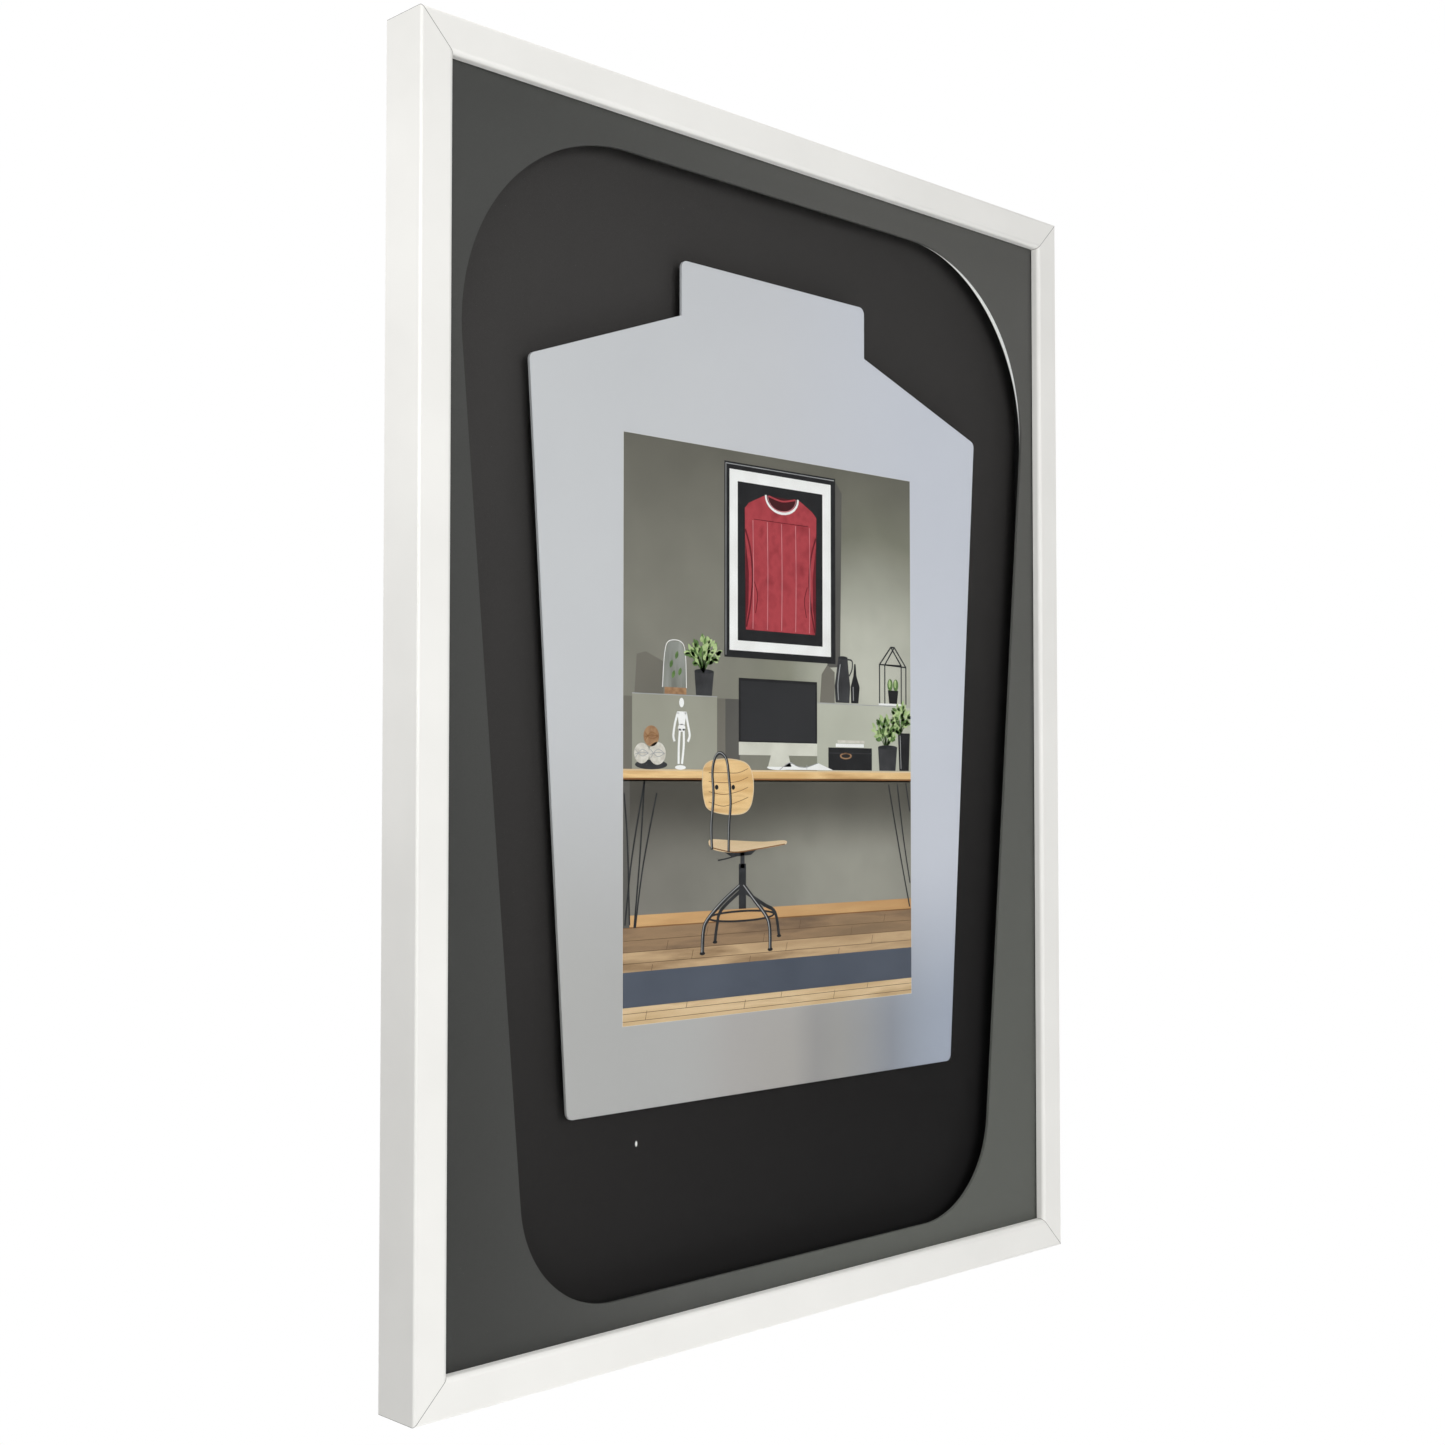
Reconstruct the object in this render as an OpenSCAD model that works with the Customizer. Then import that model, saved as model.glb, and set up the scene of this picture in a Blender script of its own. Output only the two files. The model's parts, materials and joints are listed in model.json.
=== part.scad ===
// Jersey display frame: a mitred box frame that holds a sports shirt on a flat former,
// behind a clear sheet and a mount board with a tall tapered opening.
// +X is to the right of someone facing the front, +Z is up and the front faces -Y.
// The origin is on the wall, behind the middle of the frame: Y = 0 is the plane where
// the rubber bumpers touch the wall.

/* [Frame] */
// Outside width of the frame
frame_w = 636; // [500:1:800]
// Outside height of the frame
frame_h = 836; // [700:1:1000]
// Depth of the moulding, from its front face to its back face
frame_d = 36; // [34:0.5:45]
// Width of the moulding's front face
rail_w = 24; // [20:0.5:30]
// Width of the lip that covers the edge of the glazing
lip_w = 7; // [5:0.5:9]
// Thickness of the lip, from the front face to the glazing
lip_d = 7; // [5:0.5:9]
// Radius of the outer front edge
outer_edge_r = 2; // [0.5:0.5:3]
// Radius of the inner front edge
inner_edge_r = 3; // [1:0.5:4]

/* [Sheets] */
// Gap between the sheets and the rebate, on each side
sheet_clearance = 1; // [0.5:0.25:2]
// Thickness of the clear glazing
glazing_t = 1.5; // [1:0.1:2]
// Thickness of the mount board
mount_t = 2; // [1.4:0.1:3]
// Depth of the spacers between the mount board and the inner card
spacer_d = 15.5; // [14:0.5:20]
// Width of each spacer
spacer_w = 5; // [4:0.5:6]
// Thickness of the black inner card
card_t = 2; // [1:0.5:3]
// Thickness of the foam packing sheet
pack_t = 5; // [2:0.5:6]
// Thickness of the backing board
backing_t = 3; // [2:0.5:4]

/* [Mount opening] */
// Distance from the top of the sight opening down to the mount opening
opening_margin_top = 22; // [15:1:40]
// Distance from the bottom of the sight opening up to the mount opening
opening_margin_bottom = 17; // [15:1:40]
// Width between the tapered sides, measured at the top edge
opening_top_w = 588; // [540:1:588]
// Width between the tapered sides, measured at the bottom edge
opening_bottom_w = 454; // [430:1:540]
// Radius of the two upper corners
opening_top_r = 135; // [60:1:150]
// Radius of the two lower corners
opening_bottom_r = 77; // [40:1:100]

/* [Shirt former] */
// Thickness of the former
former_t = 2; // [1.5:0.5:3]
// Gap between the glazing and the front of the former, where the shirt goes
shirt_gap = 5; // [5:0.5:8]
// Width of the neck
neck_w = 187; // [150:1:220]
// Height of the top of the neck above the frame's middle
neck_top_z = 311; // [290:1:330]
// Height of the foot of the neck above the frame's middle
neck_foot_z = 273; // [255:1:285]
// Width across the shoulder tips
shoulder_w = 450; // [400:1:460]
// Height of the shoulder tips above the frame's middle
shoulder_z = 226; // [200:1:240]
// Width of the former's bottom edge
hem_w = 385; // [340:1:400]
// Height of the former's bottom edge, measured from the frame's middle
hem_z = -258; // [-300:1:-240]
// Radius of the former's corners
former_corner_r = 5; // [2:0.5:8]
// Width of the printed insert
print_w = 292; // [210:1:300]
// Height of the printed insert
print_h = 390; // [297:1:400]
// Height of the printed insert's middle, measured from the frame's middle
print_z = -8; // [-20:1:20]
// Thickness of the printed insert
print_t = 0.3; // [0.2:0.1:0.5]
// Side of each square fixing pad behind the former
pad_side = 40; // [20:1:60]

/* [Turn buttons] */
// Thickness of a turn button's plate
button_t = 1.2; // [0.8:0.1:1.5]
// Radius of the plate round its pivot
button_pivot_r = 6; // [5:0.5:7]
// Radius of the finger end
button_tip_r = 4.5; // [3:0.5:6]
// Distance from the pivot to the middle of the finger end
button_reach = 20; // [16:1:24]
// Height of the upper and lower buttons on the stiles, from the middle
button_stile_z = 290; // [240:1:320]
// Distance of the buttons on the rails from the middle
button_rail_x = 160; // [100:1:220]

/* [Hangers] */
// Height of the D-ring pivots above the frame's middle
hanger_z = 195; // [150:1:210]
// Distance from the frame's side to the middle of each hanger
hanger_inset = 11.75; // [9.5:0.25:12]
// Width of the hanger strap
strap_w = 12; // [10:0.5:13]
// Length of the strap, from the ring's pivot to its lower end
strap_len = 33; // [30:1:40]
// Radius of the ring's wire
ring_wire_r = 1.25; // [1:0.05:1.25]
// Distance from the middle of the ring to each leg's middle
ring_half_w = 8; // [7.5:0.5:8]
// Length of the straight legs of the ring
ring_leg = 3; // [2:0.5:4]

/* [Bumpers] */
// Distance between the frame's back and the wall
standoff = 5; // [5:0.5:8]
// Radius of each bumper
bumper_r = 6; // [4:0.5:7]
// Distance from the frame's side to the middle of each bumper
bumper_inset = 34; // [26:1:60]

/* [Hidden] */

$fn = 48;
cut = 1;                                       // how far a cutting shape overshoots

half_w = frame_w / 2;
half_h = frame_h / 2;
back_y = -standoff;                            // plane of the frame's back
front_y = back_y - frame_d;                    // plane of the frame's front
leg_w = rail_w - lip_w;                        // width of the moulding behind the lip
sight_half_h = half_h - rail_w;

sheet_w = frame_w - 2 * leg_w - 2 * sheet_clearance;
sheet_h = frame_h - 2 * leg_w - 2 * sheet_clearance;

glazing_y = front_y + lip_d;                   // front of each layer, in order
mount_y = glazing_y + glazing_t;
spacer_y = mount_y + mount_t;
card_y = spacer_y + spacer_d;
pack_y = card_y + card_t;
backing_y = back_y - backing_t;

former_y = mount_y + shirt_gap;
pad_y = former_y + former_t;
pad_x = 130;                                   // middles of the pads
pad_z = [200, -200];

opening_top_z = sight_half_h - opening_margin_top;
opening_bottom_z = -sight_half_h + opening_margin_bottom;
side_slope = (opening_top_w - opening_bottom_w) / 2 / (opening_top_z - opening_bottom_z);
side_angle = atan(side_slope);

nail_leg = 5;                                  // corner V nails
nail_t = 0.6;
nail_depth = 10;
nail_places = [4.5, 12];                       // distance from both outer faces

leg_mid = leg_w / 2;                           // line of the fixings on the moulding
button_gap = 0.1;                              // play under and over a turn button
button_shank_r = 2;
button_bore_r = button_shank_r + 0.05;         // running fit on the screw
button_head_r = 4.2;
button_head_h = 1.9;
button_screw_len = 14;
button_pilot_r = 1.6;

// Each turn button: x and z of its pivot, and the angle its finger points at
// round Y, where 0 points along +X and 90 points down
button_places = [
    [-button_rail_x, half_h - leg_mid, 90],
    [button_rail_x, half_h - leg_mid, 90],
    [-button_rail_x, -half_h + leg_mid, -90],
    [button_rail_x, -half_h + leg_mid, -90],
    [-half_w + leg_mid, button_stile_z, 0],
    [-half_w + leg_mid, 0, 0],
    [-half_w + leg_mid, -button_stile_z, 0],
    [half_w - leg_mid, button_stile_z, 180],
    [half_w - leg_mid, 0, 180],
    [half_w - leg_mid, -button_stile_z, 180]];

strap_t = 0.75;
barrel_r = ring_wire_r + 0.85;                 // rolled end of the strap
barrel_bore_r = ring_wire_r + 0.05;            // running fit on the ring's bar
hanger_x = half_w - hanger_inset;
strap_hole_r = 1.75;
strap_screws = [18, 27];                       // distance of the screws below the pivot
hanger_shank_r = 1.6;
hanger_head_r = 3;
hanger_head_h = 1.5;
hanger_screw_len = 12;
hanger_pilot_r = 1.25;

bumper_x = half_w - bumper_inset;
bumper_z = half_h - leg_mid;
bumper_rim = 1.4;                              // height of the bumper's chamfer

// ---- shared shapes ----

// Turns a shape drawn along +Z to run along +Y, keeping +X
module along_y() {
    rotate([-90, 0, 0]) children();
}

// Square block with its middle at (x, z) and its front face at y
module sheet(w, h, thick, y, x = 0, z = 0) {
    translate([x - w / 2, y, z - h / 2]) cube([w, thick, h]);
}

// Extrudes an outline drawn in X and Z backwards from the plane y
module board(y, thick) {
    translate([0, y + thick, 0]) rotate([90, 0, 0]) linear_extrude(thick) children();
}

// What a rounded corner at the origin takes away
module corner_waste(r) {
    difference() {
        translate([-cut, -cut]) square(r + cut);
        translate([r, r]) circle(r);
    }
}

// ---- frame ----

// Section of the moulding: X runs back from the front face, Y runs inwards
module moulding_section() {
    difference() {
        union() {
            square([frame_d, leg_w]);
            square([lip_d, rail_w]);
        }
        corner_waste(outer_edge_r);
        translate([0, rail_w]) mirror([0, 1]) corner_waste(inner_edge_r);
    }
}

// A mitred length of moulding along X, with its outer face at the top
module mitred_length(len, half_across) {
    intersection() {
        translate([-len / 2, front_y, half_across])
            rotate([90, 0, 90]) mirror([0, 1]) linear_extrude(len) moulding_section();
        board(front_y - cut, frame_d + 2 * cut)
            polygon([[-len / 2, half_across], [len / 2, half_across],
                [len / 2 - rail_w, half_across - rail_w],
                [-len / 2 + rail_w, half_across - rail_w]]);
    }
}

// The V nails of one corner, driven in from the back across the mitre
module corner_nails() {
    for (place = nail_places)
        translate([place, back_y, place]) rotate([90, 0, 0]) linear_extrude(nail_depth)
            for (turn = [0, 90]) rotate(turn)
                translate([-nail_t / 2, -nail_t / 2]) square([nail_leg, nail_t]);
}

module corner_v_nails() {
    color("silver")
        for (right = [0, 1], top = [0, 1])
            mirror([right, 0, 0]) mirror([0, 0, top])
                translate([-half_w, 0, -half_h]) corner_nails();
}

// Holes drilled in the moulding for every screw
module pilot_holes() {
    for (place = button_places)
        translate([place[0], back_y + cut, place[1]]) rotate([90, 0, 0])
            cylinder(r = button_pilot_r, h = button_screw_len + cut);
    for (side = [-1, 1], drop = strap_screws)
        translate([side * hanger_x, back_y + cut, hanger_z - drop]) rotate([90, 0, 0])
            cylinder(r = hanger_pilot_r, h = hanger_screw_len + cut);
}

// Cuts the nail slots and pilot holes out of a length of moulding
module drilled() {
    difference() {
        children();
        corner_v_nails();
        pilot_holes();
    }
}

module top_rail() {
    color("white") drilled() mitred_length(frame_w, half_h);
}

module bottom_rail() {
    color("white") drilled() mirror([0, 0, 1]) mitred_length(frame_w, half_h);
}

module left_stile() {
    color("white") drilled() rotate([0, -90, 0]) mitred_length(frame_h, half_w);
}

module right_stile() {
    color("white") drilled() rotate([0, 90, 0]) mitred_length(frame_h, half_w);
}

// ---- sheets inside the frame ----

module glazing_sheet() {
    color("lightcyan", 0.3) sheet(sheet_w, sheet_h, glazing_t, glazing_y);
}

// x of the middle of a corner circle of radius r that touches the tapered side
function corner_x(r, z) =
    opening_top_w / 2 - (opening_top_z - z) * side_slope - r / cos(side_angle);

// Point where a corner circle touches the tapered side
function side_point(r, z) =
    [corner_x(r, z) + r * cos(side_angle), z - r * sin(side_angle)];

// Right half of the tall tapered opening, with its rounded corners
module half_opening() {
    top_z = opening_top_z - opening_top_r;
    bottom_z = opening_bottom_z + opening_bottom_r;
    top_x = corner_x(opening_top_r, top_z);
    bottom_x = corner_x(opening_bottom_r, bottom_z);
    polygon([[-cut, opening_top_z], [top_x, opening_top_z],
        [top_x, top_z], side_point(opening_top_r, top_z),
        side_point(opening_bottom_r, bottom_z), [bottom_x, bottom_z],
        [bottom_x, opening_bottom_z], [-cut, opening_bottom_z]]);
    translate([top_x, top_z]) circle(opening_top_r);
    translate([bottom_x, bottom_z]) circle(opening_bottom_r);
}

module mount_board() {
    color([0.3, 0.3, 0.29]) board(mount_y, mount_t)
        difference() {
            square([sheet_w, sheet_h], center = true);
            half_opening();
            mirror([1, 0]) half_opening();
        }
}

// Spacer along the top or bottom edge, side is 1 or -1
module long_spacer(side) {
    color("black")
        sheet(sheet_w, spacer_w, spacer_d, spacer_y, 0, side * (sheet_h - spacer_w) / 2);
}

// Spacer along the left or right edge, side is -1 or 1
module tall_spacer(side) {
    color("black") sheet(spacer_w, sheet_h - 2 * spacer_w, spacer_d, spacer_y,
        side * (sheet_w - spacer_w) / 2, 0);
}

module spacer_top() {
    long_spacer(1);
}

module spacer_bottom() {
    long_spacer(-1);
}

module spacer_left() {
    tall_spacer(-1);
}

module spacer_right() {
    tall_spacer(1);
}

module inner_card() {
    color([0.15, 0.15, 0.15]) sheet(sheet_w, sheet_h, card_t, card_y);
}

module foam_pack() {
    color("gainsboro") sheet(sheet_w, sheet_h, pack_t, pack_y);
}

module backing_board() {
    color("peru") sheet(sheet_w, sheet_h, backing_t, backing_y);
}

// ---- shirt former ----

// Neck, sloping shoulders and tapering sides, as a flat outline
module former_outline() {
    offset(r = former_corner_r) offset(delta = -former_corner_r)
        polygon([[-neck_w / 2, neck_top_z], [neck_w / 2, neck_top_z],
            [neck_w / 2, neck_foot_z], [shoulder_w / 2, shoulder_z],
            [hem_w / 2, hem_z], [-hem_w / 2, hem_z],
            [-shoulder_w / 2, shoulder_z], [-neck_w / 2, neck_foot_z]]);
}

module shirt_former() {
    color([0.8, 0.8, 0.83]) board(former_y, former_t) former_outline();
}

module former_pads() {
    color([0.1, 0.1, 0.1])
        for (side = [-1, 1], z = pad_z)
            sheet(pad_side, pad_side, card_y - pad_y, pad_y, side * pad_x, z);
}

module printed_insert() {
    color([0.45, 0.45, 0.4])
        sheet(print_w, print_h, print_t, former_y - print_t, 0, print_z);
}

// ---- fixings on the back ----

// Pan-head screw with a cross recess: the head sits on Z = 0 and the shank runs down
module cross_screw(shank_r, len, head_r, head_h) {
    slot_w = 0.9;
    difference() {
        union() {
            translate([0, 0, -len]) cylinder(r = shank_r, h = len + head_h / 2);
            cylinder(r1 = head_r, r2 = head_r * 0.8, h = head_h);
        }
        for (turn = [0, 90]) rotate(turn)
            translate([-head_r * 0.55, -slot_w / 2, head_h * 0.4])
                cube([head_r * 1.1, slot_w, head_h]);
    }
}

// Flat button that turns on its screw: place gives the pivot and the finger's angle
module turn_button(place) {
    color("silver") translate([place[0], back_y + button_gap, place[1]])
        rotate([0, place[2], 0]) along_y()
            difference() {
                hull() {
                    cylinder(r = button_pivot_r, h = button_t, $fn = 32);
                    translate([button_reach, 0, 0])
                        cylinder(r = button_tip_r, h = button_t, $fn = 32);
                }
                translate([0, 0, -cut]) cylinder(r = button_bore_r, h = button_t + 2 * cut);
            }
}

module turn_button_screws() {
    color("gray")
        for (place = button_places)
            translate([place[0], back_y + button_t + 2 * button_gap, place[1]]) along_y()
                cross_screw(button_shank_r, button_screw_len, button_head_r, button_head_h);
}

module turn_button_top_left() {
    turn_button(button_places[0]);
}

module turn_button_top_right() {
    turn_button(button_places[1]);
}

module turn_button_bottom_left() {
    turn_button(button_places[2]);
}

module turn_button_bottom_right() {
    turn_button(button_places[3]);
}

module turn_button_left_upper() {
    turn_button(button_places[4]);
}

module turn_button_left_middle() {
    turn_button(button_places[5]);
}

module turn_button_left_lower() {
    turn_button(button_places[6]);
}

module turn_button_right_upper() {
    turn_button(button_places[7]);
}

module turn_button_right_middle() {
    turn_button(button_places[8]);
}

module turn_button_right_lower() {
    turn_button(button_places[9]);
}

// Strap with a rolled end that holds the ring's bar, side is -1 or 1
module hanger_strap(side) {
    color("silver") translate([side * hanger_x, back_y, hanger_z])
        difference() {
            union() {
                sheet(strap_w, strap_len, strap_t, 0, 0, -strap_len / 2);
                translate([-strap_w / 2, barrel_r, 0]) rotate([0, 90, 0])
                    cylinder(r = barrel_r, h = strap_w);
            }
            translate([-strap_w, barrel_r, 0]) rotate([0, 90, 0])
                cylinder(r = barrel_bore_r, h = 2 * strap_w);
            for (drop = strap_screws)
                translate([0, -cut, -drop]) along_y()
                    cylinder(r = strap_hole_r, h = strap_t + 2 * cut);
        }
}

module hanger_strap_left() {
    hanger_strap(-1);
}

module hanger_strap_right() {
    hanger_strap(1);
}

// D-shaped ring that hangs from its straight bar, side is -1 or 1
module d_ring(side) {
    color("silver") translate([side * hanger_x, back_y + barrel_r, hanger_z]) {
        translate([-ring_half_w, 0, 0]) rotate([0, 90, 0])
            cylinder(r = ring_wire_r, h = 2 * ring_half_w);
        for (end = [-1, 1]) translate([end * ring_half_w, 0, 0]) {
            sphere(ring_wire_r);
            translate([0, 0, -ring_leg]) cylinder(r = ring_wire_r, h = ring_leg);
        }
        translate([0, 0, -ring_leg]) rotate([90, 0, 0]) rotate([0, 0, 180])
            rotate_extrude(angle = 180) translate([ring_half_w, 0]) circle(ring_wire_r);
    }
}

module d_ring_left() {
    d_ring(-1);
}

module d_ring_right() {
    d_ring(1);
}

module hanger_screws() {
    color("gray")
        for (side = [-1, 1], drop = strap_screws)
            translate([side * hanger_x, back_y + strap_t, hanger_z - drop]) along_y()
                cross_screw(hanger_shank_r, hanger_screw_len, hanger_head_r, hanger_head_h);
}

module wall_bumpers() {
    color("dimgray")
        for (side = [-1, 1], end = [-1, 1])
            translate([side * bumper_x, back_y, end * bumper_z]) along_y() {
                cylinder(r = bumper_r, h = standoff - bumper_rim);
                translate([0, 0, standoff - bumper_rim])
                    cylinder(r1 = bumper_r, r2 = bumper_r - bumper_rim, h = bumper_rim);
            }
}

top_rail();
bottom_rail();
left_stile();
right_stile();
corner_v_nails();
glazing_sheet();
mount_board();
spacer_top();
spacer_bottom();
spacer_left();
spacer_right();
inner_card();
former_pads();
shirt_former();
printed_insert();
foam_pack();
backing_board();
turn_button_screws();
turn_button_top_left();
turn_button_top_right();
turn_button_bottom_left();
turn_button_bottom_right();
turn_button_left_upper();
turn_button_left_middle();
turn_button_left_lower();
turn_button_right_upper();
turn_button_right_middle();
turn_button_right_lower();
hanger_strap_left();
hanger_strap_right();
d_ring_left();
d_ring_right();
hanger_screws();
wall_bumpers();
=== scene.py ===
"""Looks of the jersey display frame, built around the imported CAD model.

+X is to the right seen from the front, +Z is up and the front faces -Y. Y = 0 is the wall.
Sizes are in millimetres in the code and in metres in the meshes.
"""

import json
import math
import random

import bmesh
import bpy
from mathutils import Matrix, Vector

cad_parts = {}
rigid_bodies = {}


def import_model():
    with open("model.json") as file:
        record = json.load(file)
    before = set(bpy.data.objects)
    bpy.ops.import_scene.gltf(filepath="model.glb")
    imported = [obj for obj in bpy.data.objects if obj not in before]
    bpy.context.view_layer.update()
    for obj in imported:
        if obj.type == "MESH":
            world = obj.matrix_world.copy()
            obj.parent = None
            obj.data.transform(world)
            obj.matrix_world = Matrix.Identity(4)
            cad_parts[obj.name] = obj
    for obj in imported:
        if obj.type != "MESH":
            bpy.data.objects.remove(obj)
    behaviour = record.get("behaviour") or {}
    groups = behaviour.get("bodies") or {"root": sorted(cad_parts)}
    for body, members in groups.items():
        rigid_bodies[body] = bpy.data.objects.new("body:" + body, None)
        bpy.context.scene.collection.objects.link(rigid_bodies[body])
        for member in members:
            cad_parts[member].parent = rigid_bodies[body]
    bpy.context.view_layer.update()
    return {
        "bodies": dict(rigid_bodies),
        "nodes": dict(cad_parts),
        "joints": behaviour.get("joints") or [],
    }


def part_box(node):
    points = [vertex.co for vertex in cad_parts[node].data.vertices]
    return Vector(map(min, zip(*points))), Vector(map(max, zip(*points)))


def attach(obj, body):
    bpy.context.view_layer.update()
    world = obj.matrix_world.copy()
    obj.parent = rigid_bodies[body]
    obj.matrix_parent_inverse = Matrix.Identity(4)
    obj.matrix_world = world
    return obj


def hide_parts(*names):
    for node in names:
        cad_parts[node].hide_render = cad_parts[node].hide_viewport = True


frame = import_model()

MM = 0.001
NODES = frame["nodes"]


def low(node):
    """Lowest corner of a CAD node, in millimetres."""
    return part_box(node)[0] / MM


def high(node):
    """Highest corner of a CAD node, in millimetres."""
    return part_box(node)[1] / MM


BACK_Y = high("top_rail").y  # the back of the moulding, a bumper's height off the wall
FACE_WIDTH = 24  # of the moulding, seen from the front


def pivot_of(body):
    """Middle of the joint that a moving body turns on, in millimetres."""
    joint = next(joint for joint in frame["joints"] if joint["child"] == body)
    return Vector(joint["pos_m"]) / MM


# ---------------- camera and light


def add_object(name, data):
    """New object in the scene."""
    thing = bpy.data.objects.new(name, data)
    bpy.context.scene.collection.objects.link(thing)
    return thing


def add_camera():
    """Camera fitted to the frame's straight edges in the product shot: far to the left and a
    little below the middle."""
    data = bpy.data.cameras.new("camera")
    data.sensor_width = 36
    data.lens = 47.42
    data.dof.use_dof = False
    camera = add_object("camera", data)
    azimuth, rise = math.radians(-44.48), math.radians(2.01)
    turn = Matrix.Rotation(azimuth, 4, "Z") @ Matrix.Rotation(math.pi / 2 + rise, 4, "X")
    place = Vector((-971.1, -960.7, -48.4))
    camera.matrix_world = Matrix.Translation(place * MM) @ turn
    bpy.context.scene.camera = camera


def add_area_light(name, place, target, size, power, spread=180):
    """Square soft light at place, aimed at target, all in metres. spread is in degrees."""
    data = bpy.data.lights.new(name, "AREA")
    data.size = size
    data.energy = power
    data.spread = math.radians(spread)
    light = add_object(name, data)
    turn = (Vector(target) - Vector(place)).to_track_quat("-Z", "Y").to_matrix().to_4x4()
    light.matrix_world = Matrix.Translation(place) @ turn


def add_sun(name, strength, spread):
    """Very soft light straight down, even over the whole floor."""
    data = bpy.data.lights.new(name, "SUN")
    data.energy = strength
    data.angle = math.radians(spread)
    add_object(name, data)


def add_world(fill):
    """White surroundings that light the object only as strongly as the fill."""
    world = bpy.data.worlds.new("studio")
    bpy.context.scene.world = world
    world.use_nodes = True
    nodes, links = world.node_tree.nodes, world.node_tree.links
    background = nodes["Background"]
    background.inputs["Color"].default_value = (1, 1, 1, 1)
    seen = nodes.new("ShaderNodeLightPath").outputs["Is Camera Ray"]
    strength = nodes.new("ShaderNodeMapRange")
    strength.inputs["To Min"].default_value = fill
    strength.inputs["To Max"].default_value = 1.0
    links.new(seen, strength.inputs["Value"])
    links.new(strength.outputs["Result"], background.inputs["Strength"])


def add_floor():
    """Plain pale round floor, 1.5 m below the middle of the frame as it hangs on a wall."""
    hang_height, radius = 1.5, 2.8
    bm = bmesh.new()
    bmesh.ops.create_circle(bm, cap_ends=True, segments=96, radius=radius)
    mesh = bpy.data.meshes.new("studio_floor")
    bm.to_mesh(mesh)
    bm.free()
    floor = add_object("studio_floor", mesh)
    floor.location = (0, 0, -hang_height)
    surface = Surface("studio_floor_white", roughness=0.9)
    surface.colour(surface.tones(surface.noise(2), (250, 250, 250), (253, 253, 253)))
    mesh.materials.append(surface.material)


# ---------------- materials

WHOLE = (0, 1)  # span of a ramp that fills its whole range


def linear(colour):
    """Linear RGBA of an sRGB colour given from 0 to 255."""
    parts = [c / 255 for c in colour]
    return [p / 12.92 if p <= 0.04045 else ((p + 0.055) / 1.055) ** 2.4 for p in parts] + [1]


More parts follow.
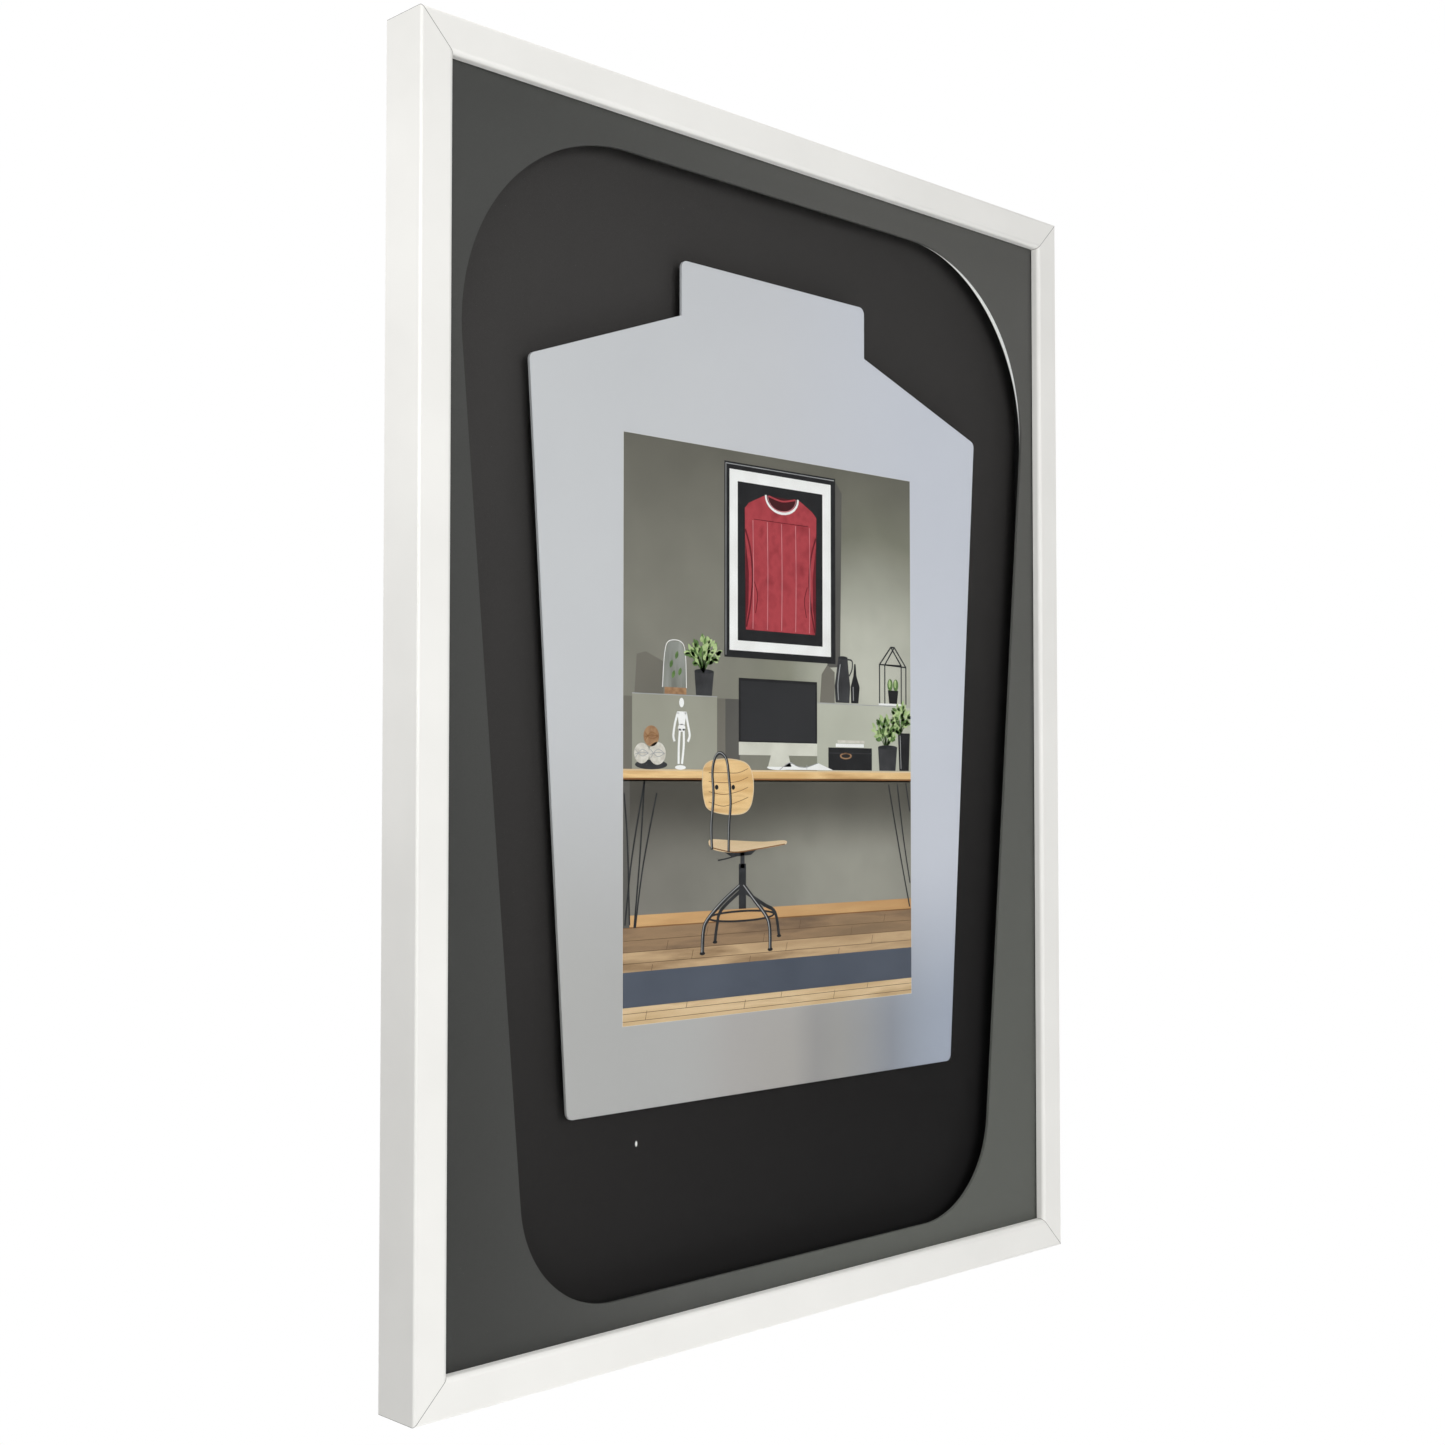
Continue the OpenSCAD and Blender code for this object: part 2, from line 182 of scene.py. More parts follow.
class Surface:
    """A Principled material whose colour, roughness and relief come from textures."""

    def __init__(self, name, roughness=0.5, metallic=0.0, specular=0.5):
        self.material = bpy.data.materials.new(name)
        self.material.use_nodes = True
        self.nodes = self.material.node_tree.nodes
        self.links = self.material.node_tree.links
        self.shader = self.nodes["Principled BSDF"]
        self.shader.inputs["Roughness"].default_value = roughness
        self.shader.inputs["Metallic"].default_value = metallic
        self.shader.inputs["Specular IOR Level"].default_value = specular
        self.place = self.nodes.new("ShaderNodeTexCoord").outputs["Object"]

    def noise(self, scale, detail=2.0, stretch=(1, 1, 1), rough=0.5, distortion=0.0):
        """Noise with scale features a metre, stretched along the row's axes."""
        mapping = self.nodes.new("ShaderNodeMapping")
        mapping.inputs["Scale"].default_value = stretch
        self.links.new(self.place, mapping.inputs["Vector"])
        texture = self.nodes.new("ShaderNodeTexNoise")
        texture.inputs["Scale"].default_value = scale
        texture.inputs["Detail"].default_value = detail
        texture.inputs["Roughness"].default_value = rough
        texture.inputs["Distortion"].default_value = distortion
        self.links.new(mapping.outputs["Vector"], texture.inputs["Vector"])
        return texture.outputs["Fac"]

    def along(self, axis, start, end):
        """0 at start and 1 at end, both in millimetres along a row axis given as a vector."""
        dot = self.nodes.new("ShaderNodeVectorMath")
        dot.operation = "DOT_PRODUCT"
        dot.inputs[1].default_value = axis
        self.links.new(self.place, dot.inputs[0])
        return self.ranged(dot.outputs["Value"], start * MM, end * MM, 0, 1)

    def distance(self, centre, start, end, stretch=(1, 1, 1)):
        """0 within start of a point and 1 beyond end, in millimetres."""
        mapping = self.nodes.new("ShaderNodeMapping")
        mapping.inputs["Scale"].default_value = stretch
        scaled = [-c * MM * s for c, s in zip(centre, stretch)]
        mapping.inputs["Location"].default_value = scaled
        self.links.new(self.place, mapping.inputs["Vector"])
        length = self.nodes.new("ShaderNodeVectorMath")
        length.operation = "LENGTH"
        self.links.new(mapping.outputs["Vector"], length.inputs[0])
        return self.ranged(length.outputs["Value"], start * MM, end * MM, 0, 1)

    def feed(self, value, socket):
        """Links another socket to this one, or sets it to a plain value."""
        if isinstance(value, bpy.types.NodeSocket):
            self.links.new(value, socket)
        else:
            socket.default_value = value

    def reckon(self, operation, *values):
        """Plain arithmetic on sockets or numbers."""
        node = self.nodes.new("ShaderNodeMath")
        node.operation = operation
        for value, socket in zip(values, node.inputs):
            self.feed(value, socket)
        return node.outputs["Value"]

    def off_mitre(self, near, far):
        """0 within near of the frame's mitre planes and 1 beyond far, in millimetres."""
        axes = self.nodes.new("ShaderNodeSeparateXYZ")
        self.links.new(self.place, axes.inputs[0])
        across = self.reckon("ABSOLUTE", axes.outputs["X"])
        up = self.reckon("ABSOLUTE", axes.outputs["Z"])
        taller = (high("top_rail").z - high("right_stile").x) * MM
        past = self.reckon("SUBTRACT", self.reckon("SUBTRACT", up, across), taller)
        return self.ranged(self.reckon("ABSOLUTE", past), near * MM, far * MM, 0, 1)

    def ranged(self, value, start, end, first, last):
        """value taken smoothly from start..end to first..last."""
        node = self.nodes.new("ShaderNodeMapRange")
        node.interpolation_type = "SMOOTHSTEP"
        node.inputs["From Min"].default_value = start
        node.inputs["From Max"].default_value = end
        node.inputs["To Min"].default_value = first
        node.inputs["To Max"].default_value = last
        self.links.new(value, node.inputs["Value"])
        return node.outputs["Result"]

    def tones(self, value, *colours, span=(0.3, 0.7)):
        """Colour ramp over value through sRGB colours, spread evenly over span."""
        node = self.nodes.new("ShaderNodeValToRGB")
        ramp = node.color_ramp
        while len(ramp.elements) < len(colours):
            ramp.elements.new(0.5)
        for i, colour in enumerate(colours):
            share = i / (len(colours) - 1)
            ramp.elements[i].position = span[0] + (span[1] - span[0]) * share
            ramp.elements[i].color = linear(colour)
        self.links.new(value, node.inputs["Fac"])
        return node.outputs["Color"]

    def mixed(self, amount, first, second, kind="MIX"):
        """Two colours mixed. amount, first and second are sockets or plain values."""
        node = self.nodes.new("ShaderNodeMix")
        node.data_type = "RGBA"
        node.blend_type = kind
        colour_inputs = [s for s in node.inputs if s.type == "RGBA"]
        for value, socket in zip((amount, first, second), (node.inputs[0], *colour_inputs)):
            self.feed(value, socket)
        return next(s for s in node.outputs if s.type == "RGBA")

    def shaded(self, base, amount, value, darkest, span=(0.3, 0.7)):
        """base darkened by a tone that runs from darkest to white with value."""
        tone = self.tones(value, darkest, (255, 255, 255), span=span)
        return self.mixed(amount, base, tone, "MULTIPLY")

    def colour(self, socket):
        """Base colour from a socket."""
        self.links.new(socket, self.shader.inputs["Base Color"])

    def roughness(self, value, first, last):
        """Roughness from first to last as value goes from 0.3 to 0.7."""
        self.links.new(self.ranged(value, 0.3, 0.7, first, last), self.shader.inputs["Roughness"])

    def relief(self, value, height, strength=1.0):
        """Bump of that height in millimetres."""
        bump = self.nodes.new("ShaderNodeBump")
        bump.inputs["Strength"].default_value = strength
        bump.inputs["Distance"].default_value = height * MM
        self.links.new(value, bump.inputs["Height"])
        self.links.new(bump.outputs["Normal"], self.shader.inputs["Normal"])


def white_paint():
    """Matt white film: nearly even, with a faint orange-peel surface and a hairline joint
    at each mitre."""
    surface = Surface("matt_white_paint", roughness=0.45, specular=0.4)
    film = surface.tones(surface.noise(14, 3), (234, 233, 229), (239, 238, 234))
    joint = linear((112, 111, 107))
    surface.colour(surface.mixed(surface.off_mitre(0.12, 0.42), joint, film))
    surface.roughness(surface.noise(60, 2), 0.4, 0.52)
    surface.relief(surface.noise(700, 3), 0.05, 0.35)
    return surface.material


def glazing_clear():
    """Clear sheet that only adds a reflection, faint from in front and stronger at a slant."""
    material = bpy.data.materials.new("clear_glazing")
    material.use_nodes = True
    nodes, links = material.node_tree.nodes, material.node_tree.links
    gloss = nodes["Principled BSDF"]
    gloss.inputs["Base Color"].default_value = (0.9, 0.93, 0.93, 1)
    gloss.inputs["Metallic"].default_value = 1.0
    gloss.inputs["Roughness"].default_value = 0.35
    clear = nodes.new("ShaderNodeBsdfTransparent")
    clear.inputs["Color"].default_value = (0.985, 0.99, 0.99, 1)
    slant = nodes.new("ShaderNodeLayerWeight")
    slant.inputs["Blend"].default_value = 0.5
    curve = nodes.new("ShaderNodeMath")
    curve.operation = "POWER"
    curve.inputs[1].default_value = 5.0
    share = nodes.new("ShaderNodeMapRange")
    share.inputs["To Max"].default_value = 0.08
    mix = nodes.new("ShaderNodeMixShader")
    links.new(slant.outputs["Facing"], curve.inputs[0])
    links.new(curve.outputs["Value"], share.inputs["Value"])
    links.new(share.outputs["Result"], mix.inputs["Fac"])
    links.new(clear.outputs["BSDF"], mix.inputs[1])
    links.new(gloss.outputs["BSDF"], mix.inputs[2])
    links.new(mix.outputs["Shader"], nodes["Material Output"].inputs["Surface"])
    return material


def spacer_face():
    """Black-faced board with a fine tooth."""
    surface = Surface("black_spacer_face", roughness=0.8, specular=0.3)
    drift = surface.tones(surface.noise(6, 2), (30, 30, 30), (40, 40, 40))
    tooth = surface.noise(1200, 4, rough=0.7)
    surface.colour(surface.shaded(drift, 0.55, tooth, (205, 205, 205)))
    surface.relief(surface.noise(960, 4, rough=0.65), 0.06, 0.5)
    return surface.material


def mount_face():
    """Dark warm grey mount board with painted light: lighter towards the right and most of all low
    down.
    """
    surface = Surface("grey_mount_face", roughness=0.75, specular=0.3)
    # painted light: the board's tones rise towards the right, and further low down
    across = surface.along((1, 0, 0), -330, 140)
    high_tones = surface.tones(across, (73, 73, 71), (93, 92, 89), span=WHOLE)
    low_tones = surface.tones(across, (61, 61, 59), (89, 89, 86), (98, 99, 94), span=WHOLE)
    base = surface.mixed(surface.along((0, 0, 1), -350, 380), low_tones, high_tones)
    tooth = surface.noise(1500, 4, rough=0.7)
    surface.colour(surface.shaded(base, 0.6, tooth, (225, 225, 225)))
    surface.relief(surface.noise(2200, 3, rough=0.6), 0.02, 0.25)
    return surface.material


def black_card_face():
    """Near-black card with a fine tooth, painted light that makes it lighter towards the top left,
    and one fleck of white lint low on the left.
    """
    surface = Surface("black_card_face", roughness=0.85, specular=0.04)
    # painted light: the card grows lighter towards the top left
    slope = surface.along((-0.5, 0, 0.87), -427, 413)
    base = surface.tones(slope, (37, 36, 36), (57, 55, 54), (68, 66, 65), span=WHOLE)
    plain = surface.shaded(base, 0.6, surface.noise(1300, 4, rough=0.7), (225, 225, 225))
    fleck = surface.distance((-122.5, low("inner_card").y, -283), 0.6, 1.3, (1, 1, 0.55))
    surface.colour(surface.mixed(fleck, linear((240, 240, 236)), plain))
    surface.relief(surface.noise(300, 2), 0.01, 0.2)
    return surface.material


def white_core():
    """White core of a board, seen where it is cut."""
    surface = Surface("white_board_core", roughness=0.9, specular=0.2)
    surface.colour(surface.tones(surface.noise(900, 3), (214, 214, 210), (236, 236, 233)))
    surface.relief(surface.noise(2500, 3), 0.05, 0.6)
    return surface.material


def former_face():
    """Pale lilac-grey display board in painted light and shade: up high it is lighter and bluer
    towards the right, and low down it is painted darker, warmer on the left and cooler in a soft
    upright band on the right."""
    surface = Surface("former_face", roughness=0.5, specular=0.35)
    # painted light: up high the board turns lighter and bluer towards the right
    across = surface.along((1, 0, 0), -200, 200)
    upper = surface.tones(across, (201, 202, 204), (203, 204, 208), (205, 208, 217), span=WHOLE)
    # painted shade: the darker tones of the lower part
    lower = surface.tones(
        surface.along((1, 0, 0), -110, 190),
        *((177, 176, 174), (174, 170, 167), (172, 168, 164), (171, 167, 163), (155, 153, 151)),
        *((160, 158, 155), (156, 156, 157), (144, 148, 156), (163, 170, 184)),
        span=WHOLE,
    )
    # heights where the painted shade takes over, reaching higher on the left than on the right
    left_fall = surface.along((0, 0, 1), -190, 20)
    right_fall = surface.along((0, 0, 1), -230, -90)
    fall = surface.mixed(across, left_fall, right_fall)
    base = surface.mixed(fall, lower, upper)
    surface.colour(surface.shaded(base, 0.7, surface.noise(9, 2), (250, 250, 251)))
    surface.relief(surface.noise(800, 3), 0.03, 0.3)
    return surface.material


def foam_pad():
    """Black hook-and-loop foam with a nubbly surface."""
    surface = Surface("black_foam_pad", roughness=0.95, specular=0.1)
    surface.colour(surface.tones(surface.noise(900, 4), (18, 18, 19), (44, 44, 46)))
    surface.relief(surface.noise(1200, 4, rough=0.7), 0.4, 0.8)
    return surface.material


def packing_foam():
    """White closed-cell foam sheet."""
    surface = Surface("packing_foam", roughness=0.8, specular=0.2)
    surface.colour(surface.tones(surface.noise(400, 4), (214, 214, 212), (236, 236, 234)))
    surface.relief(surface.noise(500, 3), 0.2, 0.6)
    return surface.material


def bare_mdf():
    """Bare fibreboard: mid brown, a fine felt of pressed fibres and a few darker specks."""
    surface = Surface("bare_mdf", roughness=0.78, specular=0.2)
    base = surface.tones(surface.noise(3, 5, rough=0.6), (164, 131, 95), (176, 144, 107))
    felt = surface.noise(1500, 5, (1, 1, 0.6), 0.75, 0.3)
    mottled = surface.shaded(base, 0.55, felt, (196, 191, 184), (0.3, 0.65))
    specks = surface.noise(1100, 2)
    surface.colour(surface.shaded(mottled, 0.5, specks, (150, 134, 116), (0.25, 0.33)))
    surface.relief(felt, 0.05, 0.4)
    return surface.material


def bright_metal(name, dark, light, roughness):
    """Plated steel with fine tumbling marks and slightly cloudy plating."""
    surface = Surface(name, roughness=roughness, metallic=1.0)
    cloud = surface.noise(70, 3, rough=0.5)
    surface.colour(surface.tones(cloud, dark, light, span=(0.2, 0.8)))
    surface.roughness(surface.noise(160, 3), roughness, roughness + 0.05)
    surface.relief(surface.noise(2200, 2, (1, 1, 0.3)), 0.02, 0.4)
    return surface.material


def bumper_rubber():
    """Soft black rubber with a dusty bloom."""
    surface = Surface("bumper_rubber", roughness=0.7, specular=0.35)
    surface.colour(surface.tones(surface.noise(300, 3), (26, 26, 27), (48, 48, 49)))
    surface.relief(surface.noise(700, 2), 0.02, 0.3)
    return surface.material


# ---------------- meshes


def round_pairs(points):
    """Each point of a closed outline with the one after it."""
    return zip(points, points[1:] + points[:1])


def bridge(bm, first, second, material=0, smooth=False):
    """Faces between two closed rings of equally many points."""
    for (a, b), (c, d) in zip(round_pairs(first), round_pairs(second)):
        face = bm.faces.new((a, b, d, c))
        face.material_index = material
        face.smooth = smooth


def add_piece(name, bm, materials, body, node):
    """Makes a mesh object of bm that rides on a CAD body and replaces a CAD node."""
    mesh = bpy.data.meshes.new(name)
    bm.to_mesh(mesh)
    bm.free()
    for material in materials:
        mesh.materials.append(material)
    piece = add_object(name, mesh)
    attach(piece, body)
    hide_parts(node)
    return piece


def dress(node, material, bevel=0.0):
    """Gives a CAD node its material and, with modifiers only, softened edges."""
    piece = NODES[node]
    piece.data.materials.clear()
    piece.data.materials.append(material)
    if bevel:
        weld = piece.modifiers.new("weld", "WELD")
        weld.merge_threshold = 0.005 * MM
        edges = piece.modifiers.new("bevel", "BEVEL")
        edges.width = bevel * MM
        edges.segments = 2
        edges.limit_method = "ANGLE"
        edges.angle_limit = math.radians(35)
    return piece


# ---------------- mount board

# Outline of the opening, as on the CAD board
SIGHT_HALF_H = high("top_rail").z - FACE_WIDTH
OPENING_TOP = SIGHT_HALF_H - 22  # 22 mm of board shows above the opening
OPENING_BOTTOM = -SIGHT_HALF_H + 17  # and 17 mm below it
OPENING_TOP_HALF_W = 294
OPENING_BOTTOM_HALF_W = 227
OPENING_TOP_R = 135
OPENING_BOTTOM_R = 77
CORNER_STEPS = 40

# How far the cut edge slopes into the opening, and how much further at the widest white core
CUT_SLOPE = 0.15
CORE_SLOPE = 1.7
CORE_STRETCH = 1.02  # the crescent ends just before its corner does
PAPER_SHARE = 0.12  # grey face paper's part of the thickness where the core shows


def opening_outline():
    """Points round the opening, anticlockwise from the right, each with its outward normal."""
    slope = (OPENING_TOP_HALF_W - OPENING_BOTTOM_HALF_W) / (OPENING_TOP - OPENING_BOTTOM)
    lean = math.atan(slope)
    corners = []
    for r, z in (
        (OPENING_TOP_R, OPENING_TOP - OPENING_TOP_R),
        (OPENING_BOTTOM_R, OPENING_BOTTOM + OPENING_BOTTOM_R),
    ):
        x = OPENING_TOP_HALF_W - (OPENING_TOP - z) * slope - r / math.cos(lean)
        corners.append((r, x, z))
    top, bottom = corners
    turns = (
        (top, 1, -lean, math.pi / 2),
        (top, -1, math.pi / 2, math.pi + lean),
        (bottom, -1, math.pi + lean, 1.5 * math.pi),
        (bottom, 1, 1.5 * math.pi, 2 * math.pi - lean),
    )
    outline = []
    for (r, x, z), side, start, end in turns:
        for i in range(CORNER_STEPS + 1):
            angle = start + (end - start) * i / CORNER_STEPS
            normal = Vector((math.cos(angle), 0, math.sin(angle)))
            outline.append((Vector((side * x, 0, z)) + r * normal, normal))
    return outline


def core_share(index):
    """How much of the cut shows the white core: a crescent on the upper right corner."""
    if index > CORNER_STEPS:
        return 0.0
    return max(0.0, math.sin(math.pi * (index / CORNER_STEPS * CORE_STRETCH))) ** 1.3


def mount_board_piece():
    """Mount board with a cut edge that shows its white core at the upper right."""
    front, back = low("mount_board").y, high("mount_board").y
    half_w, half_h = high("mount_board").x, high("mount_board").z
    bm = bmesh.new()
    outline = opening_outline()
    rings = []
    for level in range(4):
        ring = []
        for i, (point, normal) in enumerate(outline):
            white = core_share(i)
            depth = (0, PAPER_SHARE, 1 - white * (1 - PAPER_SHARE), 1)[level]
            inset = depth * (CUT_SLOPE + white * CORE_SLOPE)
            place = point - normal * inset
            place.y = front + depth * (back - front)
            ring.append(bm.verts.new(place * MM))
        rings.append(ring)
    for level, material in enumerate((0, 0, 1)):
        bridge(bm, rings[level], rings[level + 1], material)
    sheets = []
    for ring, y in ((rings[0], front), (rings[3], back)):
        corners = [
            bm.verts.new(Vector((x, y, z)) * MM)
            for x, z in ((half_w, half_h), (-half_w, half_h), (-half_w, -half_h), (half_w, -half_h))
        ]
        edges = [bm.edges.new(pair) for pair in round_pairs(corners)]
        edges += [bm.edges.get(pair) for pair in round_pairs(ring)]
        bmesh.ops.triangle_fill(bm, use_beauty=True, edges=edges)
        sheets.append(corners)
    bridge(bm, *sheets)
    bmesh.ops.remove_doubles(bm, verts=bm.verts, dist=0.001 * MM)
    bmesh.ops.recalc_face_normals(bm, faces=bm.faces)
    materials = [mount_face(), white_core()]
    add_piece("mount_board_cut", bm, materials, "frame", "mount_board")


# ---------------- printed picture


class Page:
    """Flat inks stacked on a thin sheet. Places are u across and v up, in millimetres,
    from the lower left corner of the print."""

    PAPER = 0.06  # thickness of the bare paper
    INK = 0.02  # how far each level of ink stands in front of the one below
    FILM = 0.012  # thickness of a film of ink
    LEAST = 0.02  # points of an outline closer than this count as one
    MARGIN = 0.15  # bare paper round the picture

    def __init__(self):
        self.bm = bmesh.new()
        self.used = []
        self.corner = low("printed_insert")
        self.size = high("printed_insert") - self.corner
        self.back = high("printed_insert").y
        self.inks = print_inks(self.corner)

    def slot_of(self, ink):
        """Number of an ink's material slot, which it gets when it is first used."""
        if ink not in self.used:
            self.used.append(ink)
        return self.used.index(ink)

    def sheet(self, ink):
        """The paper itself, a thin closed slab."""
        middle = self.corner + self.size / 2
        place = Matrix.Translation(Vector((middle.x, self.back - self.PAPER / 2, middle.z)) * MM)
        scale = Matrix.Diagonal((self.size.x * MM, self.PAPER * MM, self.size.z * MM, 1))
        bmesh.ops.create_cube(self.bm, size=1, matrix=place @ scale)
        for face in self.bm.faces:
            face.material_index = self.slot_of(ink)

    def shape(self, points, level, ink):
        """Filled outline of ink: a closed film, kept inside the margin."""
        outline = []
        for u, v in points:
            u = min(max(u, self.MARGIN), self.size.x - self.MARGIN)
            v = min(max(v, self.MARGIN), self.size.z - self.MARGIN)
            if not outline or math.dist(outline[-1], (u, v)) > self.LEAST:
                outline.append((u, v))
        if math.dist(outline[0], outline[-1]) < self.LEAST:
            outline.pop()
        area = sum(a[0] * b[1] - b[0] * a[1] for a, b in round_pairs(outline)) / 2
        if abs(area) < self.LEAST**2:
            return
        if area < 0:
            outline.reverse()
        front_y = self.back - self.PAPER - level * self.INK
        films = []
        for y in (front_y, front_y + self.FILM):
            places = [Vector((self.corner.x + u, y, self.corner.z + v)) for u, v in outline]
            films.append([self.bm.verts.new(place * MM) for place in places])
        front, back = films
        slot = self.slot_of(ink)
        self.bm.faces.new(front).material_index = slot
        self.bm.faces.new(back[::-1]).material_index = slot
        bridge(self.bm, back, front, slot)

    def block(self, u0, v0, u1, v1, level, ink):
        """Upright rectangle between two corners."""
        self.shape([(u0, v0), (u1, v0), (u1, v1), (u0, v1)], level, ink)

    def disc(self, u, v, ru, rv, level, ink, start=0, end=360):
        """Filled ellipse, or a slice of one between two angles."""
        turn = [math.radians(start + (end - start) * i / 28) for i in range(29)]
        if end - start == 360:
            turn.pop()
        self.shape([(u + ru * math.cos(a), v + rv * math.sin(a)) for a in turn], level, ink)

    def line(self, points, width, level, ink, smooth=True):
        """Stroke of even width along a path, in short lengths that overlap."""
        lap = 0.35  # share of half the width by which each length runs on at both ends
        hair = 0.03  # part of a level that keeps lengths that overlap out of one plane
        path = smooth_path(points) if smooth and len(points) > 2 else points
        for i in range(len(path) - 1):
            (u0, v0), (u1, v1) = path[i], path[i + 1]
            length = math.hypot(u1 - u0, v1 - v0)
            if length < 1e-6:
                continue
            du, dv = (u1 - u0) / length * width / 2, (v1 - v0) / length * width / 2
            self.shape(
                [
                    (u0 - dv - du * lap, v0 + du - dv * lap),
                    (u0 + dv - du * lap, v0 - du - dv * lap),
                    (u1 + dv + du * lap, v1 - du + dv * lap),
                    (u1 - dv + du * lap, v1 + du + dv * lap),
                ],
                level + hair * (i % 2),
                ink,
            )

    def leaf(self, u, v, angle, length, width, level, ink):
        """Pointed leaf that starts at (u, v) and grows at an angle in degrees."""
        a = math.radians(angle)
        points = []
        for side in (1, -1):
            for i in range(5):
                t = i / 5 if side > 0 else 1 - i / 5
                across = side * width / 2 * math.sin(math.pi * t) ** 0.8
                edge_u = u + length * t * math.cos(a) - across * math.sin(a)
                edge_v = v + length * t * math.sin(a) + across * math.cos(a)
                points.append((edge_u, edge_v))
        self.shape(points, level, ink)


def curve_point(a, b, c, d, t):
    """Catmull-Rom curve between b and c, at share t of the way."""
    fall = (2 * a - 5 * b + 4 * c - d) * t * t
    return 0.5 * (2 * b + (c - a) * t + fall + (3 * b - a - 3 * c + d) * t**3)


def smooth_path(points):
    """Curve through a few points, with six steps from each to the next."""
    path = []
    for i in range(len(points) - 1):
        near = (points[max(i - 1, 0)], points[i], points[i + 1], points[min(i + 2, len(points) - 1)])
        for k in range(6):
            path.append(tuple(curve_point(*values, k / 6) for values in zip(*near)))
    return path + [points[-1]]


def ink(name, *colours, scale=60, stretch=(1, 1, 1), detail=3, span=(0.3, 0.7)):
    """Satin print in tones that drift as a photographic print does."""
    surface = Surface("print_" + name, roughness=0.38, specular=0.4)
    surface.colour(surface.tones(surface.noise(scale, detail, stretch), *colours, span=span))
    surface.relief(surface.noise(1800, 2), 0.01, 0.3)
    return surface.material


def wall_ink(name, colours, centre, reach, stretch, dusk):
    """Wall in the picture: a soft pool of light round a centre, in colours that follow each
    other outwards. dusk is the pair of heights between which the wall grows darker."""
    surface = Surface("print_" + name, roughness=0.38, specular=0.4)
    pool = surface.distance(centre, 0, reach, stretch)
    base = surface.tones(pool, *colours, span=WHOLE)
    lit = surface.shaded(base, 0.8, surface.noise(25, 4), (232, 232, 232))
    dark = surface.mixed(1.0, lit, linear((165, 163, 160)), "MULTIPLY")
    surface.colour(surface.mixed(surface.along((0, 0, 1), *dusk), lit, dark))
    return surface.material


def print_inks(corner):
    """The print's materials by name, each with the colours that it drifts through."""
    inks = {}
    for name, scale, *colours in (
        ("paper", 60, (226, 225, 220), (234, 233, 228)),
        ("panel", 12, (150, 149, 135), (166, 165, 151)),
        ("panel_lit", 12, (174, 175, 160), (190, 191, 176)),
        ("panel_shade", 12, (108, 105, 96), (122, 118, 108)),
        ("shadow", 15, (86, 84, 80), (96, 94, 89)),
        ("black", 80, (24, 24, 26), (33, 33, 35)),
        ("charcoal", 90, (46, 46, 48), (64, 64, 66)),
        ("metal", 150, (32, 33, 35), (50, 51, 54)),
        ("screen", 10, (40, 40, 42), (46, 46, 48)),
        ("white", 40, (236, 235, 232), (248, 248, 246)),
        ("grey", 60, (150, 151, 152), (178, 179, 180)),
        ("silver", 60, (202, 201, 188), (220, 219, 206)),
        ("red", 70, (146, 46, 55), (176, 66, 73), (158, 54, 62)),
        ("red_shade", 70, (92, 18, 28), (118, 26, 38)),
        ("red_dark", 70, (58, 12, 18), (78, 18, 26)),
        ("stripe", 90, (196, 120, 128), (214, 150, 154)),
        ("leaf", 200, (74, 104, 52), (108, 140, 78)),
        ("leaf_light", 200, (146, 174, 108), (196, 214, 158)),
        ("stone", 260, (196, 190, 178), (222, 218, 208)),
        ("cork", 260, (140, 104, 74), (176, 138, 102)),
        ("band", 20, (74, 80, 92), (82, 88, 100)),
    ):
        inks[name] = ink(name, *colours, scale=scale)
    for name, *colours in (
        ("oak", (192, 146, 92), (236, 200, 144), (218, 176, 118)),
        ("oak_pale", (210, 184, 146), (232, 208, 174)),
        ("oak_edge", (120, 80, 44), (146, 102, 62)),
        ("skirting", (186, 142, 94), (212, 170, 118)),
        ("floor_far", (116, 94, 74), (152, 124, 94), (134, 110, 84)),
        ("floor", (150, 122, 90), (196, 166, 128), (176, 146, 110)),
        ("floor_near", (180, 150, 110), (220, 192, 152), (202, 172, 130)),
        ("gap", (92, 70, 46), (110, 84, 56)),
    ):
        grain = (0.12, 1, 1.0)
        inks[name] = ink(name, *colours, scale=90, stretch=grain, detail=5, span=(0.32, 0.66))
    glass = ((118, 120, 112), (158, 160, 154))
    inks["glass"] = ink("glass", *glass, scale=120, stretch=(1, 1, 0.2))
    inks["wall"] = wall_ink(
        "wall",
        ((204, 204, 190), (142, 142, 126), (135, 133, 122)),
        corner + Vector((250, 0, 250)),
        190,
        (1, 1, 1),
        (corner.z + 230, corner.z + 500),
    )
    inks["low_wall"] = wall_ink(
        "low_wall",
        ((158, 156, 145), (134, 132, 122), (126, 123, 115)),
        corner + Vector((225, 0, 96)),
        230,
        (1, 1, 1.3),
        (corner.z + 100, corner.z + 150),
    )
    return inks


